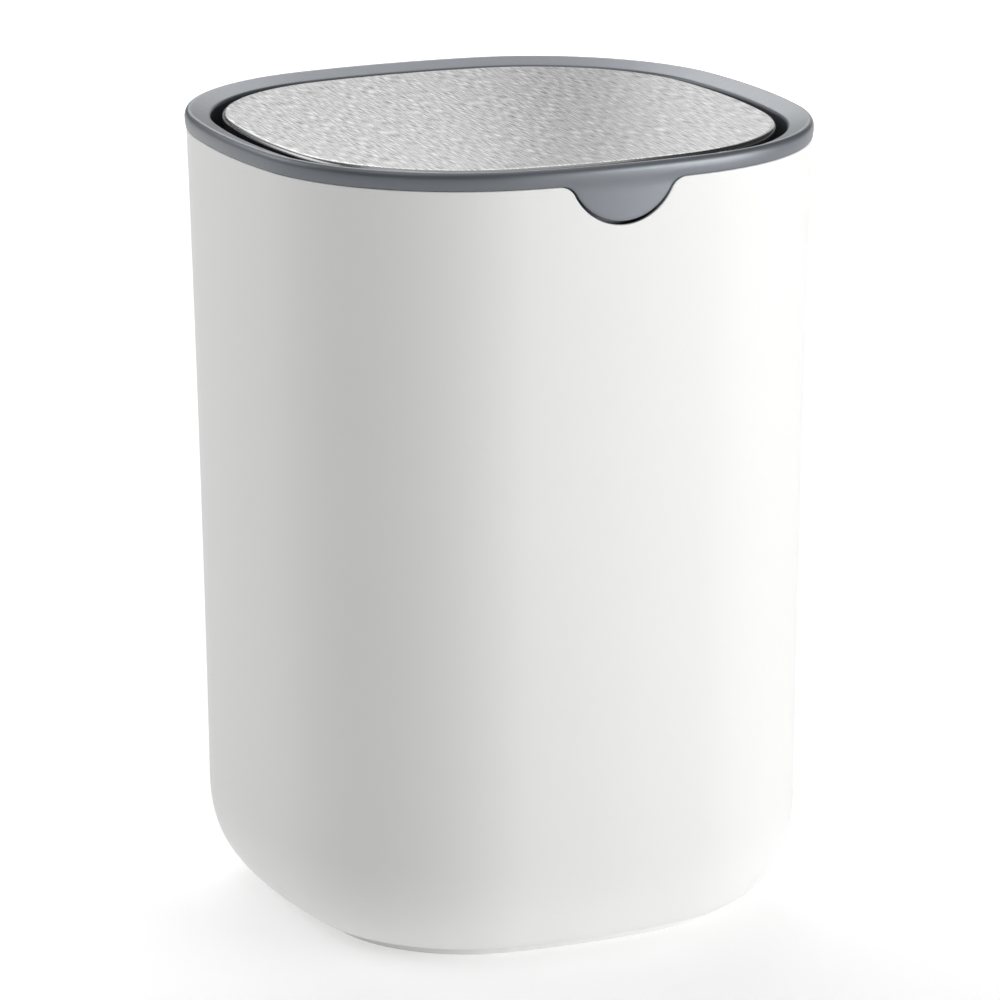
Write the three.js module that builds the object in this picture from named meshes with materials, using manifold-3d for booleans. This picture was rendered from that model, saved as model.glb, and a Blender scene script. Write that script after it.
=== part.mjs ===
// Desktop trash can with a swing lid: a white moulded body, a lift-off rim with a finger tab, and a
// flat steel-covered lid that swings on two pins. Millimetres, +Z up, origin on the floor under the
// middle of the body, front (with the tab) towards -Y.
import * as THREE from "three";
import { mergeVertices } from "three/addons/utils/BufferGeometryUtils.js";
import Module from "manifold-3d";

// ---------------------------------------------------------------- driving dimensions
const HALF = 85; // half the width of the rim's outline, on X and on Y
const SIDE_R = 210; // radius of the bulged sides
const CORNER_R = 64.5; // radius of the corners, tangent to the sides
const HEIGHT = 231.35; // floor to the rim's crest

const RIM_LOW = 226.36; // the rim's lower outer edge
const RIM_LEG_LOW = 205.6; // lower end of the rim's inner wall
const RIM_INNER = 7.5; // inset of the rim's inner wall
const LID_TOP = 230.0; // top of the steel
const LID_EDGE = 10.7; // inset of the lid's outermost edge
const AXIS_Z = 221.06; // height of the swing axis, which runs along X
const SWING_DEG = 75; // the lid meets the pillars' flanks at this angle

const WALL = 2.2; // body wall
const BODY_TOP = RIM_LOW - 0.3;
const WALL_TOP_INSET = 0.46; // body wall at its top edge, from the rim's outline
const WALL_SLOPE = 0.02697; // draft at the top
const WALL_CURVE = 4.315e-5; // the draft fades towards the base
const FILLET_IN = 27; // base fillet, across
const FILLET_UP = 31.5; // base fillet, up
const FILLET_N = 2.2; // 2 is an ellipse, more is squarer
const STEP_Z = 3.4; // the fillet ends here in a step
const FOOT_INSET = 22.6; // foot ring's outer face
const FOOT_THICK = 2.8;
const FOOT_LOW = 0.15; // the pads stand this far out of the foot ring
const FLOOR_IN = 5.7; // inside floor

const TAB_R = 16.23; // round end of the finger tab
const TAB_Z = RIM_LOW + 5.21; // its centre
const TAB_FILLET = 5.35; // fillets between the tab and the rim's lower edge
const TAB_GAP = 0.45; // tab to notch at the sides; twice that at the bottom

const PIN_R = 1.5;
const BUSH_R = 2.85;
const HEAD_R = 4.2; // round head of each pillar
const PILLAR_IN = 71.5; // pillars reach inwards to this X

const SEG_SIDE = 2; // segments on half a side
const SEG_CORNER = 8; // segments on a corner

// ---------------------------------------------------------------- library of solids
const wasm = await Module();
wasm.setup();

function toSolid(geometry) {
  const g = geometry.index ? geometry.toNonIndexed() : geometry.clone();
  g.deleteAttribute("normal");
  g.deleteAttribute("uv");
  const merged = mergeVertices(g, 1e-3);
  return new wasm.Manifold(
    new wasm.Mesh({
      numProp: 3,
      vertProperties: merged.attributes.position.array,
      triVerts: new Uint32Array(merged.index.array),
    }),
  );
}
function toGeometry(solid) {
  const m = solid.getMesh();
  const n = m.numProp;
  const v = new Float32Array((m.vertProperties.length / n) * 3);
  for (let i = 0; i < v.length / 3; i++)
    v.set(m.vertProperties.subarray(i * n, i * n + 3), i * 3);
  const g = new THREE.BufferGeometry();
  g.setAttribute("position", new THREE.BufferAttribute(v, 3));
  g.setIndex(new THREE.BufferAttribute(new Uint32Array(m.triVerts), 1));
  return g;
}
function facing(positions, index) {
  let six = 0;
  for (let i = 0; i < index.length; i += 3) {
    const [a, b, c] = [index[i], index[i + 1], index[i + 2]].map((k) =>
      positions.slice(k * 3, k * 3 + 3),
    );
    six +=
      a[0] * (b[1] * c[2] - b[2] * c[1]) -
      a[1] * (b[0] * c[2] - b[2] * c[0]) +
      a[2] * (b[0] * c[1] - b[1] * c[0]);
  }
  if (six < 0)
    for (let i = 0; i < index.length; i += 3)
      [index[i + 1], index[i + 2]] = [index[i + 2], index[i + 1]];
  const g = new THREE.BufferGeometry();
  g.setAttribute("position", new THREE.Float32BufferAttribute(positions, 3));
  g.setIndex(index);
  return g;
}
// rings: lists of [x, y, z] with equal counts. closed joins the last ring to the first; otherwise both
// ends are capped from their middles.
function loft(rings, closed = false) {
  const n = rings[0].length;
  const positions = rings.flat(2);
  const index = [];
  const last = closed ? rings.length : rings.length - 1;
  for (let i = 0; i < last; i++) {
    const p = i * n;
    const q = ((i + 1) % rings.length) * n;
    for (let j = 0; j < n; j++) {
      const k = (j + 1) % n;
      index.push(p + j, p + k, q + k, p + j, q + k, q + j);
    }
  }
  if (!closed)
    for (const [ring, turn] of [
      [0, true],
      [rings.length - 1, false],
    ]) {
      const c = positions.length / 3;
      const z = rings[ring][0][2];
      positions.push(0, 0, z);
      for (let j = 0; j < n; j++) {
        const a = ring * n + j;
        const b = ring * n + ((j + 1) % n);
        index.push(c, turn ? b : a, turn ? a : b);
      }
    }
  return facing(positions, index);
}

// ---------------------------------------------------------------- the plan outline
// Four side arcs of SIDE_R joined by corner arcs of CORNER_R, all tangent. An inset keeps every centre
// and shortens every radius.
const SIDE_C = HALF - SIDE_R;
const CORNER_C = (() => {
  const d = Math.SQRT2 * Math.abs(SIDE_C);
  const reach = SIDE_R - CORNER_R;
  const along = Math.sqrt(reach * reach - (d * d) / 4);
  // the two side centres are (SIDE_C, 0) and (0, SIDE_C); the corner centre lies on the diagonal
  return SIDE_C / 2 + along / Math.SQRT2;
})();
const TURN = Math.atan2(CORNER_C, CORNER_C - SIDE_C); // where a side gives way to a corner
function outline(inset) {
  const quarter = [];
  for (let i = 0; i < SEG_SIDE; i++) {
    const t = (TURN * i) / SEG_SIDE;
    quarter.push([
      SIDE_C + (SIDE_R - inset) * Math.cos(t),
      (SIDE_R - inset) * Math.sin(t),
    ]);
  }
  for (let i = 0; i < SEG_CORNER; i++) {
    const t = TURN + ((Math.PI / 2 - 2 * TURN) * i) / SEG_CORNER;
    quarter.push([
      CORNER_C + (CORNER_R - inset) * Math.cos(t),
      CORNER_C + (CORNER_R - inset) * Math.sin(t),
    ]);
  }
  for (let i = 0; i < SEG_SIDE; i++) {
    const t = Math.PI / 2 - TURN + (TURN * i) / SEG_SIDE;
    quarter.push([
      (SIDE_R - inset) * Math.cos(t),
      SIDE_C + (SIDE_R - inset) * Math.sin(t),
    ]);
  }
  const all = [];
  for (let k = 0; k < 4; k++)
    for (const [x, y] of quarter) {
      const c = [1, 0, -1, 0][k];
      const s = [0, 1, 0, -1][k];
      all.push([c * x - s * y, s * x + c * y]);
    }
  return all;
}
const ring = ([inset, z]) => outline(inset).map(([x, y]) => [x, y, z]);

// ---------------------------------------------------------------- profiles
const wallInset = (z) => {
  const t = 226.1 - z;
  return WALL_TOP_INSET + WALL_SLOPE * t - WALL_CURVE * t * t;
};
const fillet = (z, low, across, up) => {
  const u = Math.min(Math.max((low + up - z) / up, 0), 1);
  return across * (1 - Math.pow(1 - Math.pow(u, FILLET_N), 1 / FILLET_N));
};
const outerInset = (z) => wallInset(z) + fillet(z, 0, FILLET_IN, FILLET_UP);
const innerInset = (z) =>
  wallInset(z) + WALL + fillet(z, FLOOR_IN, FILLET_IN - 3, FILLET_UP - 4.5);

function roundedRect(hx, hy, r, z) {
  const pts = [];
  for (const [sx, sy, a] of [
    [1, 1, 0],
    [-1, 1, 90],
    [-1, -1, 180],
    [1, -1, 270],
  ])
    for (let i = 0; i <= 3; i++) {
      const t = ((a + 30 * i) * Math.PI) / 180;
      pts.push([
        sx * (hx - r) + r * Math.cos(t),
        sy * (hy - r) + r * Math.sin(t),
        z,
      ]);
    }
  return pts;
}
// A solid extruded along X or Y from an outline in the plane across it, in that plane's (u, z).
function slab(points, from, to, along) {
  const shape = new THREE.Shape(points.map(([u, z]) => new THREE.Vector2(u, z)));
  const g = new THREE.ExtrudeGeometry(shape, {
    depth: to - from,
    bevelEnabled: false,
    steps: 1,
    curveSegments: 1,
  });
  const m = new THREE.Matrix4();
  if (along === "x")
    m.makeBasis(
      new THREE.Vector3(0, 1, 0),
      new THREE.Vector3(0, 0, 1),
      new THREE.Vector3(1, 0, 0),
    ).setPosition(from, 0, 0);
  else
    m.makeBasis(
      new THREE.Vector3(-1, 0, 0),
      new THREE.Vector3(0, 0, 1),
      new THREE.Vector3(0, 1, 0),
    ).setPosition(0, from, 0);
  return g.applyMatrix4(m);
}
// A turned solid: profile is [radius, along] from one end to the other, turned about X at (y, z) = (0, AXIS_Z)
// or about Z at (x, y).
function turned(profile, segments, place) {
  const g = new THREE.LatheGeometry(
    profile.map(([r, h]) => new THREE.Vector2(r, h)),
    segments,
  );
  if (place.axis === "x")
    g.rotateZ(-Math.PI / 2).translate(0, 0, AXIS_Z);
  else g.rotateX(Math.PI / 2).translate(place.x, place.y, 0);
  return g;
}
const box = (x0, y0, z0, x1, y1, z1) =>
  new THREE.BoxGeometry(x1 - x0, y1 - y0, z1 - z0).translate(
    (x0 + x1) / 2,
    (y0 + y1) / 2,
    (z0 + z1) / 2,
  );
const arc = (cx, cz, r, a0, a1, n) =>
  Array.from({ length: n + 1 }, (_, i) => {
    const t = ((a0 + ((a1 - a0) * i) / n) * Math.PI) / 180;
    return [cx + r * Math.cos(t), cz + r * Math.sin(t)];
  });

// ---------------------------------------------------------------- the tab's outline, seen from the front
// gap 0 is the tab itself; a gap grows it into the notch.
function tabOutline(gap, top) {
  const cz = TAB_Z - gap;
  const r = TAB_R + gap;
  const fr = TAB_FILLET - gap;
  const fz = (gap > 0 ? BODY_TOP : RIM_LOW) - fr;
  const fx = Math.sqrt((r + fr) ** 2 - (cz - fz) ** 2);
  const toFillet = (Math.atan2(fz - cz, fx) * 180) / Math.PI; // direction from the big centre to the right fillet's
  const right = arc(fx, fz, fr, 90, 180 + toFillet, 4);
  const round = arc(0, cz, r, toFillet, -180 - toFillet, 14).slice(1, -1);
  const left = right.map(([x, z]) => [-x, z]).reverse();
  return [[fx, top], ...right, ...round, ...left, [-fx, top]];
}

// ---------------------------------------------------------------- body
const outerZ = [3.6, 4.6, 6, 8, 11, 15, 20, 25, 31.5, 75, 125, 175, BODY_TOP];
const innerZ = [BODY_TOP, 150, 75, 32.7, 27, 20, 14, 10, 7.5, 6.2];
const PAD_AT = [
  [36, -36],
  [36, 36],
  [-36, 36],
  [-36, -36],
];
let body = toSolid(
  loft([
    ring([FOOT_INSET + FOOT_THICK + 0.3, STEP_Z]),
    ring([FOOT_INSET + FOOT_THICK, FOOT_LOW]),
    ring([FOOT_INSET + 0.3, FOOT_LOW]),
    ring([FOOT_INSET, 0.5]),
    ring([FOOT_INSET, STEP_Z - 0.1]),
    ring([outerInset(STEP_Z) + 0.4, STEP_Z - 0.1]),
    ...outerZ.map((z) => ring([outerInset(z), z])),
    ...innerZ.map((z) => ring([innerInset(z), z])),
    ring([innerInset(FLOOR_IN + 0.02) + 1, FLOOR_IN]),
  ]),
);
for (const [x, y] of PAD_AT) {
  const place = { axis: "z", x, y };
  body = body
    .add(
      toSolid(
        turned([[0, FOOT_LOW], [7, FOOT_LOW], [7.4, 4.5], [0, 4.5]], 20, place),
      ),
    )
    .subtract(toSolid(turned([[0, -1], [5.8, -1], [5.8, 1.6], [0, 1.6]], 20, place)));
}
body = body.subtract(
  toSolid(slab(tabOutline(TAB_GAP, BODY_TOP + 2), -HALF - 5, -HALF + 12, "y")),
);

// ---------------------------------------------------------------- rim
const rimSection = [
  [0.85, RIM_LOW],
  [0.35, RIM_LOW + 0.5],
  [0.05, RIM_LOW + 1.6],
  [0, HEIGHT - 2.1],
  [0.1, HEIGHT - 1.3],
  [0.38, HEIGHT - 0.62],
  [0.8, HEIGHT - 0.16],
  [1.3, HEIGHT],
  [1.95, HEIGHT - 0.15],
  [5.5, HEIGHT - 1.38],
  [6.35, HEIGHT - 1.75],
  [7.1, HEIGHT - 2.35],
  [RIM_INNER, HEIGHT - 3.15],
  [RIM_INNER, RIM_LEG_LOW],
  [5.5, RIM_LEG_LOW],
  [5.3, HEIGHT - 2.9],
  [3.1, HEIGHT - 2.5],
  [3.1, RIM_LOW],
];
let rim = toSolid(loft(rimSection.map(ring), true));
// the tab carries on the rim's outer face, bent like the body's front
const tabShell = toSolid(
  loft(
    [
      [0.12, RIM_LOW + 2.2],
      [0.5, RIM_LOW + 0.3],
      [0.95, TAB_Z - TAB_R - 1],
      [3.0, TAB_Z - TAB_R - 1],
      [2.7, RIM_LOW + 2.2],
    ].map(ring),
    true,
  ),
);
rim = rim.add(
  tabShell.intersect(
    toSolid(slab(tabOutline(0, RIM_LOW + 2.2), -HALF - 5, -HALF + 12, "y")),
  ),
);
// ribs that centre the rim in the body
const ribShell = toSolid(
  loft(
    [
      [3.25, HEIGHT - 2.4],
      [3.25, RIM_LOW],
      [3.5, RIM_LOW - 11],
      [4.4, RIM_LOW - 12.4],
      [5.7, RIM_LOW - 12.4],
      [5.7, HEIGHT - 2.4],
    ].map(ring),
    true,
  ),
);
for (const deg of [38, 52, 128, 142, 218, 232, 308, 322]) {
  const blade = box(60, -0.8, 200, 110, 0.8, 240).rotateZ((deg * Math.PI) / 180);
  rim = rim.add(ribShell.intersect(toSolid(blade)));
}
// a pillar each side: a round head about the swing axis, with flanks that are square to the lid's
// underside when it has swung as far as it goes
const flank = (SWING_DEG * Math.PI) / 180;
const low = RIM_LEG_LOW + 0.4 - AXIS_Z;
const foot = (HEAD_R - low * Math.cos(flank)) / Math.sin(flank);
const pillar = [
  ...arc(0, AXIS_Z, HEAD_R, 90 - SWING_DEG, 90 + SWING_DEG, 10),
  [-foot, AXIS_Z + low],
  [foot, AXIS_Z + low],
];
for (const s of [-1, 1]) {
  const [x0, x1] = s > 0 ? [PILLAR_IN, 78.6] : [-78.6, -PILLAR_IN];
  rim = rim.add(toSolid(slab(pillar, x0, x1, "x")));
  const [b0, b1] = s > 0 ? [70, 77.2] : [-77.2, -70];
  rim = rim.subtract(
    toSolid(turned([[0, b0], [BUSH_R + 0.3, b0], [BUSH_R + 0.3, b1], [0, b1]], 20, { axis: "x" })),
  );
}

// ---------------------------------------------------------------- lid
const cover = loft(
  [
    [LID_EDGE + 1.5, LID_TOP],
    [LID_EDGE + 0.93, LID_TOP - 0.11],
    [LID_EDGE + 0.44, LID_TOP - 0.44],
    [LID_EDGE + 0.11, LID_TOP - 0.93],
    [LID_EDGE, LID_TOP - 1.5],
    [LID_EDGE, LID_TOP - 2],
    [LID_EDGE + 0.5, LID_TOP - 2],
    [LID_EDGE + 0.5, LID_TOP - 1.55],
    [LID_EDGE + 0.6, LID_TOP - 1.15],
    [LID_EDGE + 0.87, LID_TOP - 0.8],
    [LID_EDGE + 1.5, LID_TOP - 0.5],
  ].map(ring),
);
const TRAY_TOP = LID_TOP - 1.6;
const TRAY_UNDER = TRAY_TOP - 1.6;
const SKIRT_LOW = AXIS_Z + 4.5;
let tray = toSolid(
  loft(
    [
      [LID_EDGE + 1.4, TRAY_TOP],
      [LID_EDGE + 0.8, TRAY_TOP - 0.6],
      [LID_EDGE + 0.8, SKIRT_LOW + 0.4],
      [LID_EDGE + 1.2, SKIRT_LOW],
      [LID_EDGE + 2.6, SKIRT_LOW],
      [LID_EDGE + 2.6, TRAY_UNDER],
    ].map(ring),
  ),
);
// ears that carry the pins
for (const s of [-1, 1]) {
  const ear = [
    ...arc(0, AXIS_Z, HEAD_R, -180, 0, 8),
    [6.2, TRAY_UNDER + 0.4],
    [-6.2, TRAY_UNDER + 0.4],
  ];
  const [e0, e1] = s > 0 ? [65.3, 70.3] : [-70.3, -65.3];
  tray = tray
    .add(toSolid(slab(ear, e0, e1, "x")))
    .subtract(
      toSolid(
        turned(
          s > 0
            ? [[0, 60], [PIN_R + 0.3, 60], [PIN_R + 0.3, 75], [0, 75]]
            : [[0, -75], [PIN_R + 0.3, -75], [PIN_R + 0.3, -60], [0, -60]],
          20,
          { axis: "x" },
        ),
      ),
    );
}
// bosses for the screws, and two ribs that hold the bar down in its trough
const SCREW_AT = [
  [57.5, -30],
  [57.5, 30],
  [-57.5, 30],
  [-57.5, -30],
];
const FLANGE_TOP = 223.6;
for (const [x, y] of SCREW_AT) {
  const place = { axis: "z", x, y };
  tray = tray
    .add(toSolid(turned([[0, FLANGE_TOP + 0.3], [3.4, FLANGE_TOP + 0.3], [3.8, TRAY_UNDER + 0.4], [0, TRAY_UNDER + 0.4]], 16, place)))
    .subtract(toSolid(turned([[0, FLANGE_TOP - 1], [1.45, FLANGE_TOP - 1], [1.45, TRAY_TOP - 0.8], [0, TRAY_TOP - 0.8]], 16, place)));
}
const BAR = { x: 52, y: 13, z0: 208.5, z1: 215.5 };
for (const x of [-30, 30])
  tray = tray.add(
    toSolid(box(x - 1, -9, BAR.z1 + 0.3, x + 1, 9, TRAY_UNDER + 0.4)),
  );

let pan = toSolid(
  loft([
    roundedRect(53.3, 13.9, 2, BAR.z0 - 0.3),
    roundedRect(54.8, 22.4, 4, FLANGE_TOP),
    roundedRect(62.5, 35.5, 7, FLANGE_TOP),
    roundedRect(62.5, 35.5, 7, FLANGE_TOP - 1.6),
    roundedRect(56.4, 24, 5.6, FLANGE_TOP - 1.6),
    roundedRect(55, 15.6, 3.6, BAR.z0 - 1),
    roundedRect(54, 14.6, 2.6, BAR.z0 - 1.9),
  ]),
);
for (const [x, y] of SCREW_AT)
  pan = pan.subtract(
    toSolid(turned([[0, 218], [1.6, 218], [1.6, 226], [0, 226]], 16, { axis: "z", x, y })),
  );

// ---------------------------------------------------------------- the assembly
const finish = (color, roughness, metalness) =>
  new THREE.MeshStandardMaterial({ color, roughness, metalness });
const root = new THREE.Group();
const bin = new THREE.Group();
const rimGroup = new THREE.Group();
const lidGroup = new THREE.Group();
root.add(bin, rimGroup, lidGroup);
function node(group, name, geometry, material) {
  const mesh = new THREE.Mesh(geometry, material);
  mesh.name = name;
  group.add(mesh);
}

node(bin, "bin_body", toGeometry(body), finish(0xeeeeec, 0.55, 0));
PAD_AT.forEach(([x, y], i) =>
  node(
    bin,
    "foot_pad_" + (i + 1),
    turned([[0, 0], [5.2, 0], [5.5, 0.3], [5.5, 1.3], [0, 1.3]], 20, { axis: "z", x, y }),
    finish(0x9a9c9e, 0.9, 0),
  ),
);

node(rimGroup, "rim_frame", toGeometry(rim), finish(0x8f959c, 0.45, 0));
for (const [side, s] of [
  ["left", -1],
  ["right", 1],
]) {
  // plain bush with a collar towards the lid
  const bush = [
    [PIN_R + 0.25, 70.6],
    [3.6, 70.6],
    [3.6, 71.2],
    [BUSH_R, 71.2],
    [BUSH_R, 76.9],
    [PIN_R + 0.25, 76.9],
    [PIN_R + 0.25, 70.6],
  ];
  const turn = (profile) =>
    s > 0 ? profile : profile.map(([r, h]) => [r, -h]).reverse();
  node(
    rimGroup,
    "pivot_bush_" + side,
    turned(turn(bush), 20, { axis: "x" }),
    finish(0xe8e6df, 0.5, 0),
  );
  // headed pin, fast in the ear and free in the bush
  const pin = [
    [0, 63.8],
    [2.4, 63.8],
    [2.7, 64.1],
    [2.7, 65.0],
    [PIN_R, 65.0],
    [PIN_R, 76.2],
    [PIN_R - 0.4, 76.7],
    [0, 76.7],
  ];
  node(
    lidGroup,
    "pivot_pin_" + side,
    turned(turn(pin), 20, { axis: "x" }),
    finish(0xb9bcc0, 0.35, 1),
  );
}

node(lidGroup, "lid_cover", cover, finish(0xc4c5c6, 0.32, 1));
node(lidGroup, "lid_tray", toGeometry(tray), finish(0x2a2b2d, 0.5, 0));
node(lidGroup, "lid_underside", toGeometry(pan), finish(0x2a2b2d, 0.5, 0));
node(
  lidGroup,
  "counterweight_bar",
  box(-BAR.x, -BAR.y, BAR.z0, BAR.x, BAR.y, BAR.z1),
  finish(0x8d8f92, 0.4, 1),
);
[-50, -17, 17, 50].forEach((y, i) =>
  node(
    lidGroup,
    "cover_pad_" + (i + 1),
    box(-50, y - 7, TRAY_TOP + 0.3, 50, y + 7, LID_TOP - 0.8),
    finish(0xd9d9d6, 0.95, 0),
  ),
);
SCREW_AT.forEach(([x, y], i) =>
  node(
    lidGroup,
    "underside_screw_" + (i + 1),
    turned(
      [
        [0, 220.1],
        [2.3, 220.1],
        [2.8, 220.9],
        [2.8, FLANGE_TOP - 1.9],
        [1.15, FLANGE_TOP - 1.9],
        [1.15, TRAY_TOP - 1.6],
        [0, TRAY_TOP - 1.2],
      ],
      16,
      { axis: "z", x, y },
    ),
    finish(0xb4b6b8, 0.4, 1),
  ),
);

export default root;
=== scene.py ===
"""Looks for the desktop trash can: fine meshes, materials, floor, lights and camera.

Lengths inside the shape code are in millimetres and become metres when a mesh is made.
"""

import math

import bmesh
import bpy
import numpy as np
from mathutils import Matrix, Vector


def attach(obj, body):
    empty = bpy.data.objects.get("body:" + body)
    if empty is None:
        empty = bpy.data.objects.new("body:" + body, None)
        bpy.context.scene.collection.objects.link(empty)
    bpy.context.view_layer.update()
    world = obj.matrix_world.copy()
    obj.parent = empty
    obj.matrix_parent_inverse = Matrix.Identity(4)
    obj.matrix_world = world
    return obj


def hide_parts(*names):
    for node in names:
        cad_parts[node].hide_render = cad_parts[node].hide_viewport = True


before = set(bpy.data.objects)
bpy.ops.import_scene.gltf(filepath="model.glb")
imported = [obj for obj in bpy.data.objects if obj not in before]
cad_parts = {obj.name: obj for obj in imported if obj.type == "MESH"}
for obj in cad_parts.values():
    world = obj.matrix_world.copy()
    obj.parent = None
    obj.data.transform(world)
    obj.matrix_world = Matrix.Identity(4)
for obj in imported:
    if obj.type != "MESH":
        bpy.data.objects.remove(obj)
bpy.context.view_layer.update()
MM = 0.001

# ------------------------------------------------------------------ driving dimensions
HALF, SIDE_R, CORNER_R, HEIGHT = 85.0, 210.0, 64.5, 231.35
RIM_LOW, RIM_LEG_LOW, RIM_INNER = 226.36, 205.6, 7.5
LID_TOP, LID_EDGE, AXIS_Z, SWING_DEG = 230.0, 10.7, 221.06, 75.0
WALL, BODY_TOP = 2.2, 226.24
FILLET_IN, FILLET_UP, FILLET_N = 27.0, 31.5, 2.2
STEP_Z, FOOT_INSET, FOOT_THICK, FOOT_LOW, FLOOR_IN = 3.4, 22.6, 2.8, 0.15, 5.7
TAB_R, TAB_Z, TAB_FILLET, TAB_GAP = 16.23, 231.57, 5.35, 0.2
PIN_R, BUSH_R, HEAD_R, PILLAR_IN = 1.5, 2.85, 4.2, 71.5
TRAY_TOP = LID_TOP - 1.6
TRAY_UNDER = TRAY_TOP - 1.6
SKIRT_LOW = AXIS_Z + 4.5
FLANGE_TOP = 223.6
PAD_AT = [(36, -36), (36, 36), (-36, 36), (-36, -36)]
SCREW_AT = [(57.5, -30), (57.5, 30), (-57.5, 30), (-57.5, -30)]
BAR = {"x": 52.0, "y": 13.0, "z0": 208.5, "z1": 215.5}

SIDE_C = HALF - SIDE_R
_half = math.sqrt(2) * abs(SIDE_C) / 2
CORNER_C = SIDE_C / 2 + math.sqrt((SIDE_R - CORNER_R) ** 2 - _half**2) / math.sqrt(2)
TURN = math.atan2(CORNER_C, CORNER_C - SIDE_C)


# ------------------------------------------------------------------ meshes
def signed_volume(verts, faces):
    total = 0.0
    for f in faces:
        a = verts[f[0]]
        for i in range(1, len(f) - 1):
            total += np.dot(a, np.cross(verts[f[i]], verts[f[i + 1]]))
    return total / 6


def make(name, verts, faces):
    """A mesh object in metres from points in millimetres, with its faces outwards."""
    verts = np.asarray(verts, float)
    faces = [list(map(int, f)) for f in faces]
    if signed_volume(verts, faces) < 0:
        faces = [f[::-1] for f in faces]
    mesh = bpy.data.meshes.new(name)
    mesh.from_pydata((verts * MM).tolist(), [], faces)
    mesh.validate()
    obj = bpy.data.objects.new(name, mesh)
    bpy.context.scene.collection.objects.link(obj)
    return obj


def loft(name, rings, closed=False, start=None, end=None):
    """Quads between rings of equal counts. start and end say how each end is closed: a list of shares for
    rings that shrink towards the middle point."""
    rings = [np.asarray(r, float) for r in rings]
    if not closed:
        head, tail = [], []
        for shares, ring, out in ((start, rings[0], head), (end, rings[-1], tail)):
            middle = ring.mean(0)
            for k in shares:
                out.append(middle + (ring - middle) * k)
        first, last = rings[0].mean(0), rings[-1].mean(0)
        rings = head[::-1] + rings + tail
    n = len(rings[0])
    verts = np.vstack(rings)
    faces = []
    for i in range(len(rings) if closed else len(rings) - 1):
        p, q = i * n, ((i + 1) % len(rings)) * n
        for j in range(n):
            k = (j + 1) % n
            faces.append((p + j, p + k, q + k, q + j))
    if not closed:
        verts = np.vstack([verts, first, last])
        a, b = len(verts) - 2, len(verts) - 1
        p = (len(rings) - 1) * n
        for j in range(n):
            k = (j + 1) % n
            faces.append((a, k, j))
            faces.append((b, p + j, p + k))
    return make(name, verts, faces)


def turned(name, profile, segments, axis="z", at=(0, 0), sign=1):
    """A turned solid from (radius, along) points. It closes on the axis, or on itself if it never meets it."""
    closed = profile[0][0] > 0
    verts, index = [], []
    for r, h in profile:
        if r == 0:
            index.append([len(verts)] * segments)
            verts.append((0, 0, h))
        else:
            index.append([len(verts) + j for j in range(segments)])
            for j in range(segments):
                t = 2 * math.pi * j / segments
                verts.append((r * math.cos(t), r * math.sin(t), h))
    faces = []
    for i in range(len(profile) if closed else len(profile) - 1):
        p, q = index[i], index[(i + 1) % len(profile)]
        for j in range(segments):
            k = (j + 1) % segments
            f = [p[j], p[k], q[k], q[j]]
            f = [v for m, v in enumerate(f) if v not in f[:m]]
            if len(f) > 2:
                faces.append(f)
    verts = np.array(verts, float)
    if axis == "x":
        verts = np.stack([sign * verts[:, 2], verts[:, 0], verts[:, 1] + AXIS_Z], 1)
    else:
        verts[:, 0] += at[0]
        verts[:, 1] += at[1]
    return make(name, verts, faces)


def slab(name, points, lo, hi, along, edge=0.0):
    """An extruded outline in (u, z), along X or Y, with an edge of that width broken at both ends."""
    pts = np.array(points, float)
    nxt, prv = np.roll(pts, -1, 0) - pts, pts - np.roll(pts, 1, 0)
    nxt /= np.linalg.norm(nxt, axis=1)[:, None]
    prv /= np.linalg.norm(prv, axis=1)[:, None]
    area = np.sum(pts[:, 0] * np.roll(pts[:, 1], -1) - np.roll(pts[:, 0], -1) * pts[:, 1])
    turn = 1 if area > 0 else -1
    inward = turn * np.stack([-(nxt + prv)[:, 1], (nxt + prv)[:, 0]], 1)
    inward /= np.maximum((inward * turn * np.stack([-nxt[:, 1], nxt[:, 0]], 1)).sum(1), 0.3)[:, None]
    levels = [(lo, edge), (lo + edge * 0.3, edge * 0.3), (lo + edge, 0), (hi - edge, 0), (hi - edge * 0.3, edge * 0.3), (hi, edge)] if edge else [(lo, 0), (hi, 0)]
    verts, n = [], len(pts)
    for a, e in levels:
        for u, z in pts + inward * e:
            verts.append((a, u, z) if along == "x" else (u, a, z))
    faces = [tuple(range(n)), tuple(range((len(levels) - 1) * n, len(levels) * n))[::-1]]
    for i in range(len(levels) - 1):
        for j in range(n):
            k = (j + 1) % n
            faces.append((i * n + k, i * n + j, (i + 1) * n + j, (i + 1) * n + k))
    return make(name, verts, faces)


def combine(base, others, operation):
    """Joins the others to the base, or cuts them out of it, and leaves one clean mesh."""
    for o in others:
        m = base.modifiers.new("join", "BOOLEAN")
        m.object, m.operation, m.solver = o, operation, "EXACT"
    bpy.context.view_layer.update()
    done = bpy.data.meshes.new_from_object(base.evaluated_get(bpy.context.evaluated_depsgraph_get()))
    base.modifiers.clear()
    old, base.data = base.data, done
    bpy.data.meshes.remove(old)
    done.name = base.name
    for o in others:
        bpy.data.objects.remove(o)
    return base


def soften(obj, angle=32):
    bm = bmesh.new()
    bm.from_mesh(obj.data)
    bmesh.ops.remove_doubles(bm, verts=bm.verts, dist=1e-7)
    bmesh.ops.dissolve_degenerate(bm, edges=bm.edges, dist=1e-8)
    bm.to_mesh(obj.data)
    bm.free()
    obj.data.shade_smooth()
    obj.data.set_sharp_from_angle(angle=math.radians(angle))
    return obj


def arc(cx, cz, r, a0, a1, n):
    t = np.radians(np.linspace(a0, a1, n + 1))
    return [(cx + r * math.cos(x), cz + r * math.sin(x)) for x in t]


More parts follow.
